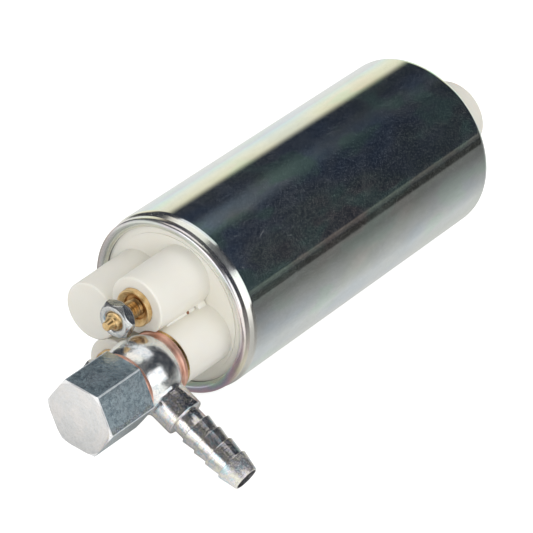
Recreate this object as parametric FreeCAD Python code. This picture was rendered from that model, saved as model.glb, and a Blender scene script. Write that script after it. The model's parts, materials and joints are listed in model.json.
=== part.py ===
import FreeCAD, Part
import math
import os

# In-line electric fuel pump, lying on its can.
# Millimetres. +X runs along the fuel flow from the inlet spigot to the outlet fitting, +Z is up,
# and the origin is on the can's axis at half its length. Angles about X start at +Y and turn
# towards +Z.

Vector = FreeCAD.Vector
CENTRE = Vector(0, 0, 0)
X_AXIS = Vector(1, 0, 0)
Z_AXIS = Vector(0, 0, 1)

# Fits, each a gap between two surfaces
fit_gap = 0.05
running_gap = 0.03
end_float = 0.10
air_gap = 0.60

# Shared small sizes: a broken edge, and how far a cutting shape runs past what it cuts
small_bevel = 0.3
cut_past = 1.0

# Can: a drawn steel cup, closed round the inlet and rolled over the outlet cover
can_radius = 26.0
can_wall = 1.2
can_length = 110.0
can_end_rounding = 2.7
can_hole_gap = 0.5
lip_thickness = 2.1
lip_edge_radius = 22.6
lip_edge_rounding = 0.15
bead_radius = 25.5
bead_length = 2.4
bead_rounding = 1.0
bead_groove_radius = 25.1
shoulder_length = 1.6
shoulder_rounding = 1.5
bead_lead_in = 0.3
neck_depth = 0.6

# Outlet cover: white moulding with four lobes
cover_disc_thickness = 9.9
cover_skirt_length = 17.0
cover_skirt_wall = 2.6
cover_step_radius = 20.7
cover_step_height = 0.3
cover_root_depth = 1.0
lobe_circle_radius = 11.6
lobe_first_angle = -21.0
lobe_radius = 8.3
lobe_draft = 0.3
lobe_edge_rounding = 0.5
flange_notch_gap = 0.3
outlet_lobe_height = 17.1
positive_lobe_height = 19.6
blank_lobe_height = 20.7
negative_lobe_height = 20.2
blank_lobe_core_radius = 5.6
blank_lobe_end_wall = 3.0
centre_boss_radius = 6.0
seal_groove_depth = 1.85
seal_groove_width = 2.4
seal_groove_from_face = 4.5

# Outlet nipple, washers, ball fitting and cap nut, stacked on the outlet lobe
nipple_shank_radius = 5.5
nipple_shank_length = 13.8
nipple_flange_radius = 8.5
nipple_flange_thickness = 1.3
nipple_thread_radius = 6.0
nipple_end_chamfer = 0.8
nipple_end_wall = 10.0
nipple_grip_in_cap = 11.0
nipple_port_radius = 1.8
outlet_passage_radius = 4.0
washer_radius = 9.1
washer_thickness = 1.5
washer_bevel = 0.2
ball_radius = 10.4
ball_width = 12.7
ball_groove_radius = 8.0
ball_groove_width = 6.5
cap_across_flats = 19.0
cap_length = 17.0
cap_chamfer = 0.9
cap_bore_depth = 12.5
cap_thread_gap = 0.10
drill_point_angle = 118.0
cap_rotation = 53.0

# Hose barb on the ball: lengths from the ball's centre
barb_bore_radius = 3.15
barb_collar_radius = 5.65
barb_collar_end = 16.0
barb_collar_blend = 2.0
barb_collar_rounding = 0.3
barb_root_radius = 4.15
barb_ridge_radius = 4.8
barb_first_ridge = 19.8
barb_ridge_pitch = 4.1
barb_ridge_count = 3
barb_last_ridge = 32.8
barb_tip_radius = 3.65
barb_length = 38.4

# Non-return valve inside the nipple
valve_chamber_radius = 3.8
valve_seat_length = 3.0
valve_seat_bore = 2.0
poppet_nose_length = 2.0
poppet_body_length = 4.5
poppet_stem_radius = 1.4
poppet_stem_length = 6.0
valve_spring_wire = 0.5
valve_spring_turns = 6

# Terminals on two lobes
stud_radius = 2.5
stud_head_radius = 3.2
stud_head_thickness = 1.5
stud_end_chamfer = 0.5
stud_dog_foot_radius = 1.8
stud_dog_radius = 1.2
stud_dog_length = 2.0
stud_free_end = 0.4
ring_radius = 5.25
ring_seat_depth = 0.6
ring_height = 1.6
ring_bevel_depth = 0.9
ring_bevel_radius = 4.85
ring_well_radius = 3.4
ring_floor = 0.8
positive_ring_to_nut = 4.0
negative_ring_to_nut = 2.9
nut_across_flats = 9.5
nut_thickness = 3.7
nut_chamfer = 0.9
nut_hole_chamfer = 0.5
nut_rotation = 12.0

# Brushes and their springs
brush_width = 6.6
brush_length = 15.0
brush_gap = 0.05
brush_guide_wall = 1.4
brush_guide_end_gap = 1.0
brush_end_wall = 6.0
brush_spring_wire = 0.6
brush_spring_turns = 6

# Motor
magnet_thickness = 7.7
magnet_sweep = 130.0
magnet_overhang = 4.0
clip_sheet = 0.6
clip_height = 6.0
core_slot_count = 8
core_slot_radius = 2.9
core_slot_from_rim = 5.25
core_slot_opening = 1.8
wire_gap = 0.2
winding_overhang = 8.5
winding_inner_radius = 6.2
winding_rim_gap = 1.45
winding_bevel = 2.4
shaft_radius = 2.5
shaft_core_radius = 3.0
shaft_end_chamfer = 0.4
commutator_rim_gap = 0.65
commutator_inner_radius = 7.2
commutator_segment_thickness = 2.5
commutator_slot_degrees = 4.0
commutator_hub_thickness = 3.5
commutator_hub_gap = 0.5
commutator_hub_rim = 0.4
commutator_nose_radius = 5.4
commutator_nose_length = 1.3
thrust_washer_radius = 4.4
thrust_washer_thickness = 0.6
bush_radius = 4.5
bush_length = 7.0
bush_chamfer = 0.3

# Pump: a lobed inner rotor turning an outer rotor inside an eccentric ring
spacer_length = 9.0
spacer_wall = 1.5
outlet_plate_thickness = 6.0
pump_ring_thickness = 8.0
inlet_plate_thickness = 5.0
inner_teeth = 6
rotor_eccentricity = 1.25
outer_rotor_wall = 3.0
rotor_lobe_radius = 3.0
rotor_root_gap = 0.15
rotor_root_fillet = 0.8
rotor_mesh_gap = 0.05
pump_ring_wall = 9.3
rotor_side_gap = 0.03
points_per_tooth = 14
shaft_flat_distance = 2.0
shaft_pilot_depth = 3.0
port_from_pitch_circle = 0.7
port_width = 3.2
port_sweep = 125.0
delivery_port_angle = 90.0
suction_port_angle = 270.0
screw_count = 3
screw_from_can = 4.2
screw_radius = 1.5
screw_head_radius = 2.75
screw_head_height = 2.0
screw_socket_width = 2.5
screw_socket_depth = 1.2

# Pressure relief valve beside the rotors
relief_angle = 180.0
relief_from_can = 5.3
relief_ball_radius = 2.0
relief_bore_radius = 1.4
relief_pocket_radius = 2.1
relief_seat_depth = 2.2
relief_pocket_depth = 6.0
relief_channel_width = 3.0
relief_channel_depth = 3.0
relief_spring_wire = 0.4
relief_spring_turns = 5

# Inlet cover with its spigot
inlet_flange_thickness = 7.8
inlet_spigot_radius = 10.4
inlet_spigot_length = 19.5
inlet_spigot_chamfer = 0.8
inlet_collar_height = 0.3
inlet_bore_radius = 7.0
inlet_chamber_radius = 14.0
inlet_chamber_depth = 4.0
inlet_seal_radius = 15.1
inlet_seal_width = 1.9
inlet_seal_depth = 1.6
screen_thickness = 0.9
screen_rim_width = 1.1
screen_bar_width = 0.5
screen_bar_count = 4

# Places that follow from the sizes above
can_bore = can_radius - can_wall
outlet_end = can_length / 2
inlet_end = -can_length / 2
cover_radius = can_bore - fit_gap
cover_face = outlet_end - lip_thickness
cover_back = cover_face - cover_disc_thickness
skirt_end = cover_back - cover_skirt_length
neck_radius = can_bore - neck_depth
lip_crown_rounding = min(lip_thickness, bead_radius - lip_edge_radius - bead_rounding) - lip_edge_rounding

outer_rotor_radius = can_bore - pump_ring_wall
rotor_pitch_radius = outer_rotor_radius - outer_rotor_wall
port_outer_radius = rotor_pitch_radius - port_from_pitch_circle
port_inner_radius = port_outer_radius - port_width
screw_circle_radius = can_bore - screw_from_can
relief_circle_radius = can_bore - relief_from_can

inlet_floor = inlet_end + can_wall
inlet_flange_top = inlet_floor + inlet_flange_thickness
inlet_plate_top = inlet_flange_top + inlet_plate_thickness
pump_ring_top = inlet_plate_top + pump_ring_thickness
outlet_plate_top = pump_ring_top + outlet_plate_thickness
spacer_top = outlet_plate_top + spacer_length

magnet_start = spacer_top
magnet_end = skirt_end
magnet_radius = can_bore - fit_gap - magnet_thickness
core_start = magnet_start + magnet_overhang
core_end = magnet_end - magnet_overhang
core_radius = magnet_radius - air_gap
core_slot_circle_radius = core_radius - core_slot_from_rim
winding_outer_radius = core_radius - winding_rim_gap
commutator_radius = core_radius - commutator_rim_gap
hub_start = core_end + winding_overhang + commutator_hub_gap
segment_start = hub_start + commutator_hub_thickness
commutator_face = segment_start + commutator_segment_thickness
nose_end = commutator_face + commutator_nose_length
outlet_bush_start = nose_end + thrust_washer_thickness + end_float
pump_bush_end = outlet_plate_top + end_float

outlet_lobe_end = cover_face + outlet_lobe_height
flange_top = outlet_lobe_end + nipple_flange_thickness
ball_start = flange_top + washer_thickness
ball_end = ball_start + ball_width
ball_centre = (ball_start + ball_end) / 2
cap_start = ball_end + washer_thickness
nipple_start = outlet_lobe_end - nipple_shank_length
nipple_end = cap_start + nipple_grip_in_cap
valve_seat_top = nipple_start + valve_seat_length
valve_chamber_end = nipple_end - nipple_end_wall

lobe_angles = [lobe_first_angle + 90.0 * i for i in range(4)]
outlet_angle, positive_angle, blank_angle, negative_angle = lobe_angles


def on_circle(radius, degrees, x=0.0):
    """Point at a radius and angle about the X axis."""
    angle = math.radians(degrees)
    return Vector(x, radius * math.cos(angle), radius * math.sin(angle))


def outline(corners, rounded):
    """Closed wire through (x, y) corners; a third value is the size of that corner's bevel or arc."""
    points = [Vector(corner[0], corner[1], 0) for corner in corners]
    bends = []
    for i, corner in enumerate(corners):
        here = points[i]
        size = corner[2] if len(corner) > 2 else 0.0
        if size == 0.0:
            bends.append((here, None, here))
            continue
        back = (points[i - 1] - here).normalize()
        ahead = (points[(i + 1) % len(points)] - here).normalize()
        half = back.getAngle(ahead) / 2
        reach = size / math.tan(half) if rounded else size
        middle = here + (back + ahead).normalize() * (size / math.sin(half) - size)
        bends.append((here + back * reach, middle, here + ahead * reach))
    edges = []
    for i, (enter, middle, leave) in enumerate(bends):
        if middle is not None and rounded:
            edges.append(Part.Arc(enter, middle, leave).toShape())
        elif middle is not None:
            edges.append(Part.LineSegment(enter, leave).toShape())
        following = bends[(i + 1) % len(bends)][0]
        if leave.distanceToPoint(following) > 1e-6:
            edges.append(Part.LineSegment(leave, following).toShape())
    return Part.Wire(edges)


def turned(corners, rounded=False):
    """Solid turned about the X axis from (x, radius) corners, with bevels or arcs at its corners."""
    return Part.Face(outline(corners, rounded)).revolve(CENTRE, X_AXIS, 360)


def tube(start, end, outer, inner):
    """Plain ring about the X axis."""
    return turned([(start, inner), (end, inner), (end, outer), (start, outer)])


def rod(start, end, radius, centre=CENTRE):
    """Plain cylinder along X about a centre."""
    foot = Vector(start, centre.y, centre.z)
    return Part.makeCylinder(radius, end - start, foot, X_AXIS)


def block(start, end, width, height, centre=CENTRE):
    """Box along X about a centre, with its width along Y and its height along Z."""
    corner = Vector(start, centre.y - width / 2, centre.z - height / 2)
    return Part.makeBox(end - start, width, height, corner)


def hexagon(start, end, across_flats, rotation):
    """Hexagonal bar along X."""
    corner_radius = across_flats / math.sqrt(3)
    ring = [on_circle(corner_radius, rotation + 60.0 * i, start) for i in range(7)]
    return Part.Face(Part.makePolygon(ring)).extrude(Vector(end - start, 0, 0))


def ring_sector(start, end, inner, outer, middle, sweep):
    """Part of a ring about X, spread evenly each side of its middle angle."""
    low = middle - sweep / 2
    high = middle + sweep / 2
    outer_arc = Part.Arc(on_circle(outer, low, start), on_circle(outer, middle, start),
                         on_circle(outer, high, start)).toShape()
    inner_arc = Part.Arc(on_circle(inner, high, start), on_circle(inner, middle, start),
                         on_circle(inner, low, start)).toShape()
    sides = [Part.LineSegment(on_circle(outer, high, start), on_circle(inner, high, start)).toShape(),
             Part.LineSegment(on_circle(inner, low, start), on_circle(outer, low, start)).toShape()]
    outline = Part.Wire([outer_arc, sides[0], inner_arc, sides[1]])
    return Part.Face(outline).extrude(Vector(end - start, 0, 0))


def coil_spring(start, end, coil_radius, wire, turns):
    """Compression spring along X: square wire on one helix, as long as its room."""
    height = end - start - wire
    helix = Part.makeHelix(height / turns, height, coil_radius)
    half = wire / 2
    section = Part.makePolygon([Vector(coil_radius + y, 0, z) for y, z in
                                ((-half, -half), (half, -half), (half, half), (-half, half),
                                 (-half, -half))])
    coil = Part.Wire(helix.Edges).makePipeShell([section], True, True)
    coil.rotate(CENTRE, Vector(0, 1, 0), 90)
    return coil.translated(Vector(start + half, 0, 0))


def turn_about_x(shape, degrees):
    return shape.rotated(CENTRE, X_AXIS, degrees)


def place(shape, centre):
    return shape.translated(Vector(0, centre.y, centre.z))


def group(shapes):
    return Part.makeCompound(shapes)


def can():
    """Drawn cup whose open end is necked in, beaded and rolled over the cover."""
    hole = inlet_spigot_radius + can_hole_gap
    return turned([
        (inlet_end, hole),
        (inlet_end, can_radius, can_end_rounding),
        (outlet_end - bead_length - shoulder_length, can_radius, shoulder_rounding),
        (outlet_end - bead_length, bead_groove_radius),
        (outlet_end - bead_length + bead_lead_in, bead_radius, bead_lead_in),
        (outlet_end, bead_radius, bead_rounding),
        (outlet_end, lip_edge_radius, lip_crown_rounding),
        (outlet_end - lip_thickness, lip_edge_radius, lip_edge_rounding),
        (outlet_end - lip_thickness, neck_radius),
        (outlet_end - lip_thickness - shoulder_length, neck_radius),
        (outlet_end - lip_thickness - 2 * shoulder_length, can_bore),
        (inlet_floor, can_bore, can_end_rounding - can_wall),
        (inlet_floor, hole),
    ], rounded=True)


def lobe(angle, height):
    """One drafted lobe that stands on the cover's face."""
    foot = cover_face - cover_root_depth
    end = cover_face + height
    shape = turned([(foot, 0), (end, 0), (end, lobe_radius, lobe_edge_rounding),
                    (foot, lobe_radius + lobe_draft)], rounded=True)
    return place(shape, on_circle(lobe_circle_radius, angle))


def brush_well_end(height):
    """Where a terminal lobe's brush well stops below the lobe's end."""
    return cover_face + height - brush_end_wall


def outlet_cover():
    """Cover moulding: disc, skirt, lobes, brush guides, bearing boss and fuel passage."""
    step_start = outlet_end - lip_thickness - 2 * shoulder_length
    shape = turned([
        (cover_back, 0),
        (cover_back, cover_radius - cover_skirt_wall),
        (skirt_end, cover_radius - cover_skirt_wall),
        (skirt_end, cover_radius),
        (step_start, cover_radius),
        (step_start + shoulder_length, neck_radius - fit_gap),
        (cover_face, neck_radius - fit_gap),
        (cover_face, cover_step_radius),
        (cover_face + cover_step_height, cover_step_radius),
        (cover_face + cover_step_height, 0),
    ])
    for angle, height in zip(lobe_angles, (outlet_lobe_height, positive_lobe_height,
                                           blank_lobe_height, negative_lobe_height)):
        shape = shape.fuse(lobe(angle, height))
    shape = shape.fuse(rod(outlet_bush_start - end_float / 2, cover_back, centre_boss_radius))

    guide_start = commutator_face + brush_guide_end_gap
    guide_width = brush_width + 2 * (fit_gap + brush_guide_wall)
    well_width = brush_width + 2 * fit_gap
    for angle, height in ((positive_angle, positive_lobe_height),
                          (negative_angle, negative_lobe_height)):
        centre = Vector(0, lobe_circle_radius, 0)
        guide = block(guide_start, cover_back + cover_root_depth, guide_width, guide_width, centre)
        shape = shape.fuse(turn_about_x(guide, angle))
    for angle, height in ((positive_angle, positive_lobe_height),
                          (negative_angle, negative_lobe_height)):
        centre = Vector(0, lobe_circle_radius, 0)
        lobe_end = cover_face + height
        well_end = brush_well_end(height)
        well = block(guide_start - cut_past, well_end, well_width, well_width, centre)
        stud_hole = rod(well_end - cut_past, lobe_end + cut_past, stud_radius + fit_gap, centre)
        ring_seat = rod(lobe_end - ring_seat_depth, lobe_end + cut_past, ring_radius + fit_gap, centre)
        shape = shape.cut(turn_about_x(well.fuse(stud_hole).fuse(ring_seat), angle))

    outlet = on_circle(lobe_circle_radius, outlet_angle)
    shape = shape.cut(rod(cover_back - cut_past, outlet_lobe_end + cut_past, outlet_passage_radius, outlet))
    shape = shape.cut(rod(nipple_start, outlet_lobe_end + cut_past, nipple_shank_radius + fit_gap, outlet))
    notch_radius = max(washer_radius, nipple_flange_radius) + flange_notch_gap
    tallest = cover_face + max(positive_lobe_height, blank_lobe_height, negative_lobe_height)
    shape = shape.cut(rod(outlet_lobe_end, tallest + cut_past, notch_radius, outlet))
    blank = on_circle(lobe_circle_radius, blank_angle)
    core_top = cover_face + blank_lobe_height - blank_lobe_end_wall
    shape = shape.cut(rod(cover_back - cut_past, core_top, blank_lobe_core_radius, blank))

    shape = shape.cut(rod(outlet_bush_start - cut_past, outlet_bush_start + bush_length,
                          bush_radius + fit_gap))
    groove_end = cover_face - seal_groove_from_face
    shape = shape.cut(tube(groove_end - seal_groove_width, groove_end,
                           can_radius, cover_radius - seal_groove_depth))
    return shape.removeSplitter()


def round_ring(middle_x, inner, outer):
    """Rubber ring of round section about the X axis, between two radii."""
    section = (outer - inner) / 2
    return Part.makeTorus((outer + inner) / 2, section, Vector(middle_x, 0, 0), X_AXIS)


def cover_seal():
    """Rubber ring, squeezed between the cover's groove and the can."""
    middle = cover_face - seal_groove_from_face - seal_groove_width / 2
    return round_ring(middle, cover_radius - seal_groove_depth + fit_gap / 2, can_bore - fit_gap / 2)


def at_outlet(shape):
    return place(shape, on_circle(lobe_circle_radius, outlet_angle))


def outlet_nipple():
    """Hollow brass stud: shank in the lobe, flange, thread and four ports under the ball."""
    shape = turned([
        (nipple_start, valve_chamber_radius),
        (nipple_start, nipple_shank_radius, small_bevel),
        (outlet_lobe_end, nipple_shank_radius),
        (outlet_lobe_end, nipple_flange_radius, small_bevel),
        (flange_top, nipple_flange_radius, small_bevel),
        (flange_top, nipple_thread_radius),
        (nipple_end - nipple_end_chamfer, nipple_thread_radius),
        (nipple_end, nipple_thread_radius - nipple_end_chamfer),
        (nipple_end, 0),
        (valve_chamber_end, 0),
        (valve_chamber_end, valve_chamber_radius),
    ])
    reach = 2 * (nipple_thread_radius + cut_past)
    for angle in (outlet_angle + 45.0, outlet_angle + 135.0):
        drill = Part.makeCylinder(nipple_port_radius, reach, Vector(ball_centre, -reach / 2, 0),
                                  Vector(0, 1, 0))
        shape = shape.cut(turn_about_x(drill, angle))
    return at_outlet(shape)


def valve_cone_radius(x):
    """Radius of the poppet's nose cone at x; the seat's mouth has the same slope."""
    return valve_seat_bore + (x - (valve_seat_top - poppet_nose_length / 2)) - 2 * running_gap


def check_valve_seat():
    outer = valve_chamber_radius - fit_gap
    cone_start = valve_seat_top - poppet_nose_length / 2
    shape = turned([
        (nipple_start, valve_seat_bore),
        (nipple_start, outer),
        (valve_seat_top, outer),
        (valve_seat_top, valve_seat_bore + poppet_nose_length / 2),
        (cone_start, valve_seat_bore),
    ])
    return at_outlet(shape)


def check_valve_poppet():
    """Coned plunger; fuel passes its six flats and its stem centres the spring."""
    guide_radius = valve_chamber_radius - fit_gap
    cone_start = valve_seat_top - poppet_nose_length / 2 + running_gap
    nose_end = cone_start + poppet_nose_length / 2
    body_end = nose_end + poppet_body_length
    nose = turned([
        (nose_end - poppet_nose_length, 0),
        (nose_end - poppet_nose_length, valve_cone_radius(nose_end - poppet_nose_length)),
        (nose_end, valve_cone_radius(nose_end)),
        (nose_end, 0),
    ])
    body = hexagon(nose_end, body_end, guide_radius * math.sqrt(3), 0.0)
    bound = rod(nose_end, body_end, guide_radius)
    stem = turned([(body_end, 0), (body_end + poppet_stem_length, 0),
                   (body_end + poppet_stem_length, poppet_stem_radius, small_bevel),
                   (body_end, poppet_stem_radius)])
    return at_outlet(nose.fuse(body.common(bound)).fuse(stem).removeSplitter())


def check_valve_spring():
    body_end = valve_seat_top + running_gap + poppet_body_length
    coil_radius = (poppet_stem_radius + valve_chamber_radius) / 2
    return at_outlet(coil_spring(body_end + fit_gap, valve_chamber_end - fit_gap, coil_radius,
                                 valve_spring_wire, valve_spring_turns))


def banjo_washers():
    """Two soft copper rings, one each side of the ball."""
    inner = nipple_thread_radius + fit_gap
    rings = []
    for start in (flange_top, ball_end):
        rings.append(at_outlet(turned([
            (start, inner),
            (start, washer_radius, washer_bevel),
            (start + washer_thickness, washer_radius, washer_bevel),
            (start + washer_thickness, inner),
        ])))
    return group(rings)


def barb_drop_angle():
    """How far the barb slopes below +Y so that its tip just meets the floor under the can."""
    axis_height = can_radius + on_circle(lobe_circle_radius, outlet_angle).z
    reach = math.hypot(barb_length, barb_tip_radius)
    return math.degrees(math.asin(axis_height / reach) - math.atan2(barb_tip_radius, barb_length))


def banjo_fitting():
    """Ball with a hose barb: one turned outline about the barb, faced off and bored."""
    blend_x = math.sqrt((ball_radius + barb_collar_blend) ** 2
                        - (barb_collar_radius + barb_collar_blend) ** 2)
    share = ball_radius / (ball_radius + barb_collar_blend)
    on_ball = Vector(blend_x * share, (barb_collar_radius + barb_collar_blend) * share, 0)
    on_collar = Vector(blend_x, barb_collar_radius, 0)
    blend_centre = Vector(blend_x, barb_collar_radius + barb_collar_blend, 0)
    blend_middle = blend_centre + ((on_ball + on_collar) * 0.5 - blend_centre).normalize() \
        * barb_collar_blend
    edges = [Part.Arc(Vector(-ball_radius, 0, 0), Vector(0, ball_radius, 0), on_ball).toShape(),
             Part.Arc(on_ball, blend_middle, on_collar).toShape()]

    outline = [on_collar,
               Vector(barb_collar_end - barb_collar_rounding, barb_collar_radius, 0),
               Vector(barb_collar_end, barb_collar_radius - barb_collar_rounding, 0),
               Vector(barb_collar_end, barb_root_radius, 0)]
    for i in range(barb_ridge_count):
        shoulder = barb_first_ridge + barb_ridge_pitch * i
        outline.append(Vector(shoulder, barb_root_radius, 0))
        outline.append(Vector(shoulder, barb_ridge_radius, 0))
    outline += [Vector(barb_last_ridge, barb_root_radius, 0),
                Vector(barb_last_ridge, barb_ridge_radius, 0),
                Vector(barb_length, barb_tip_radius, 0),
                Vector(barb_length, 0, 0),
                Vector(-ball_radius, 0, 0)]
    for here, following in zip(outline, outline[1:]):
        edges.append(Part.LineSegment(here, following).toShape())
    shape = Part.Face(Part.Wire(edges)).revolve(CENTRE, X_AXIS, 360)
    shape = shape.cut(rod(0, barb_length + cut_past, barb_bore_radius))

    shape.rotate(CENTRE, Z_AXIS, 90)
    shape = shape.translated(Vector(ball_centre, 0, 0))
    room = 2 * (ball_radius + barb_length)
    shape = shape.common(block(ball_start, ball_end, room, room))
    shape = shape.cut(rod(ball_start - cut_past, ball_end + cut_past, nipple_thread_radius + fit_gap))
    shape = shape.cut(rod(ball_centre - ball_groove_width / 2, ball_centre + ball_groove_width / 2,
                          ball_groove_radius))
    return at_outlet(turn_about_x(shape, -barb_drop_angle()))


def cap_nut():
    """Closed hexagon nut, chamfered at both ends, with a drilled blind bore."""
    end = cap_start + cap_length
    corner_radius = cap_across_flats / math.sqrt(3)
    bore = nipple_thread_radius + cap_thread_gap
    bar = hexagon(cap_start, end, cap_across_flats, cap_rotation - outlet_angle)
    flat = cap_across_flats / 2
    bound = turned([
        (cap_start, 0),
        (cap_start, flat),
        (cap_start + cap_chamfer, corner_radius),
        (end - cap_chamfer, corner_radius),
        (end, flat),
        (end, 0),
    ])
    drilled = turned([
        (cap_start - cut_past, 0),
        (cap_start - cut_past, bore),
        (cap_start + cap_bore_depth, bore),
        (cap_start + cap_bore_depth + bore / math.tan(math.radians(drill_point_angle / 2)), 0),
    ])
    return at_outlet(turn_about_x(bar.common(bound).cut(drilled), outlet_angle))


def terminal_stud(angle, height, ring_to_nut):
    """Brass stud: head in the brush well, threaded shank and a tapered dog point."""
    lobe_end = cover_face + height
    well_end = brush_well_end(height)
    shank_end = lobe_end + ring_height + ring_to_nut + nut_thickness + stud_free_end
    shape = turned([
        (well_end - stud_head_thickness, 0),
        (well_end - stud_head_thickness, stud_head_radius, small_bevel),
        (well_end, stud_head_radius),
        (well_end, stud_radius),
        (shank_end, stud_radius),
        (shank_end + stud_end_chamfer, stud_radius - stud_end_chamfer),
        (shank_end + stud_end_chamfer, stud_dog_foot_radius),
        (shank_end + stud_end_chamfer + stud_dog_length, stud_dog_radius, small_bevel),
        (shank_end + stud_end_chamfer + stud_dog_length, 0),
    ])
    return place(shape, on_circle(lobe_circle_radius, angle))


def terminal_rings():
    """Brass ring on each terminal lobe, bevelled inwards to a well round the stud."""
    rings = []
    for angle, height in ((positive_angle, positive_lobe_height),
                          (negative_angle, negative_lobe_height)):
        foot = cover_face + height - ring_seat_depth
        top = foot + ring_seat_depth + ring_height
        hole = stud_radius + fit_gap
        shape = turned([
            (foot, hole),
            (foot, ring_radius),
            (top, ring_radius, small_bevel),
            (top, ring_bevel_radius),
            (top - ring_bevel_depth, ring_well_radius),
            (foot + ring_floor, ring_well_radius),
            (foot + ring_floor, hole),
        ])
        rings.append(place(shape, on_circle(lobe_circle_radius, angle)))
    return group(rings)


def terminal_nuts():
    """Hexagon nut on each stud, held off the ring."""
    nuts = []
    corner_radius = nut_across_flats / math.sqrt(3)
    flat = nut_across_flats / 2
    hole = stud_radius + fit_gap
    for angle, height, ring_to_nut in (
            (positive_angle, positive_lobe_height, positive_ring_to_nut),
            (negative_angle, negative_lobe_height, negative_ring_to_nut)):
        start = cover_face + height + ring_height + ring_to_nut
        end = start + nut_thickness
        bound = turned([
            (start, hole + nut_hole_chamfer),
            (start, flat),
            (start + nut_chamfer, corner_radius),
            (end - nut_chamfer, corner_radius),
            (end, flat),
            (end, hole + nut_hole_chamfer),
            (end - nut_hole_chamfer, hole),
            (start + nut_hole_chamfer, hole),
        ])
        shape = hexagon(start, end, nut_across_flats, nut_rotation).common(bound)
        nuts.append(place(shape, on_circle(lobe_circle_radius, angle)))
    return group(nuts)


def brush(angle):
    """Carbon block that runs in its guide against the commutator's face."""
    start = commutator_face + brush_gap
    shape = block(start, start + brush_length, brush_width, brush_width,
                  Vector(0, lobe_circle_radius, 0))
    return turn_about_x(shape, angle)


def brush_spring(angle, height):
    start = commutator_face + brush_gap + brush_length + fit_gap
    end = brush_well_end(height) - stud_head_thickness - fit_gap
    coil_radius = brush_width / 2 - brush_spring_wire
    return place(coil_spring(start, end, coil_radius, brush_spring_wire, brush_spring_turns),
                 on_circle(lobe_circle_radius, angle))


def bush(start, end):
    """Sintered bearing bush for the motor shaft."""
    return turned([
        (start, shaft_radius + running_gap),
        (start, bush_radius, bush_chamfer),
        (end, bush_radius, bush_chamfer),
        (end, shaft_radius + running_gap),
    ])


def magnet(angle):
    return ring_sector(magnet_start, magnet_end, magnet_radius, can_bore - fit_gap, angle,
                       magnet_sweep)


def magnet_clips():
    """Bent sheet channels that wedge the two magnets apart."""
    clips = []
    outer = can_bore - fit_gap
    gap_sweep = 180.0 - magnet_sweep
    edge_gap = math.degrees(fit_gap / outer)
    for angle in (90.0, 270.0):
        web = ring_sector(magnet_start, magnet_end, outer - clip_sheet, outer, angle,
                          gap_sweep - 2 * edge_gap)
        shape = web
        leg_sweep = math.degrees(clip_sheet / outer)
        for side in (-1, 1):
            leg_angle = angle + side * (gap_sweep / 2 - edge_gap - leg_sweep / 2)
            shape = shape.fuse(ring_sector(magnet_start, magnet_end, outer - clip_height,
                                           outer - clip_sheet / 2, leg_angle, leg_sweep))
        clips.append(shape.removeSplitter())
    return group(clips)


def spacer_ring():
    """Tube that keeps the magnets off the pump."""
    outer = can_bore - fit_gap
    return tube(outlet_plate_top, spacer_top, outer, outer - spacer_wall)


def armature_shaft():
    """Motor shaft: thick through the core, thin in the bushes, two flats in the inner rotor."""
    start = inlet_plate_top - shaft_pilot_depth
    end = outlet_bush_start + bush_length
    shape = turned([
        (start, 0),
        (start, shaft_radius - shaft_end_chamfer),
        (start + shaft_end_chamfer, shaft_radius),
        (pump_bush_end + thrust_washer_thickness + end_float, shaft_radius),
        (pump_bush_end + thrust_washer_thickness + end_float, shaft_core_radius),
        (nose_end, shaft_core_radius),
        (nose_end, shaft_radius),
        (end - shaft_end_chamfer, shaft_radius),
        (end, shaft_radius - shaft_end_chamfer),
        (end, 0),
    ])
    flat_end = pump_ring_top - rotor_side_gap
    for side in (-1, 1):
        centre = Vector(0, 0, side * (shaft_flat_distance + shaft_radius))
        shape = shape.cut(block(start - cut_past, flat_end, 4 * shaft_radius, 2 * shaft_radius, centre))
    return shape


def thrust_washers():
    """A thin ring at each end of the shaft's thick part."""
    rings = []
    for start in (nose_end + fit_gap, pump_bush_end + end_float):
        rings.append(tube(start, start + thrust_washer_thickness - fit_gap, thrust_washer_radius,
                          shaft_radius + fit_gap))
    return group(rings)


def slot_centre(index):
    return on_circle(core_slot_circle_radius, 360.0 * index / core_slot_count)


def armature_core():
    """Laminated iron core with closed-in slots along its rim."""
    shape = tube(core_start, core_end, core_radius, shaft_core_radius + fit_gap)
    for i in range(core_slot_count):
        slot = rod(core_start - cut_past, core_end + cut_past, core_slot_radius, slot_centre(0))
        mouth = block(core_start - cut_past, core_end + cut_past, core_radius, core_slot_opening,
                      Vector(0, core_slot_circle_radius + core_radius / 2, 0))
        shape = shape.cut(turn_about_x(slot.fuse(mouth), 360.0 * i / core_slot_count))
    return shape


def armature_winding():
    """Wire bundles in the slots, joined by the end turns at both ends."""
    def end_turns(start, end):
        return turned([(start, winding_inner_radius, winding_bevel),
                       (end, winding_inner_radius, winding_bevel),
                       (end, winding_outer_radius, winding_bevel),
                       (start, winding_outer_radius, winding_bevel)])
    shape = end_turns(core_start - winding_overhang, core_start - wire_gap)
    shape = shape.fuse(end_turns(core_end + wire_gap, core_end + winding_overhang))
    for i in range(core_slot_count):
        bundle = rod(core_start - winding_overhang / 2, core_end + winding_overhang / 2,
                     core_slot_radius - wire_gap, slot_centre(i))
        shape = shape.fuse(bundle)
    return shape


def commutator_hub():
    bore = shaft_core_radius + fit_gap
    return turned([
        (hub_start, bore),
        (hub_start, commutator_radius + commutator_hub_rim, commutator_hub_rim),
        (segment_start, commutator_radius + commutator_hub_rim),
        (segment_start, commutator_nose_radius),
        (nose_end, commutator_nose_radius, small_bevel),
        (nose_end, bore),
    ])


def commutator_segments():
    """Flat segments that the brushes press on."""
    pitch = 360.0 / core_slot_count
    return group([ring_sector(segment_start, commutator_face, commutator_inner_radius,
                              commutator_radius, pitch * i, pitch - commutator_slot_degrees)
                  for i in range(core_slot_count)])


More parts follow.
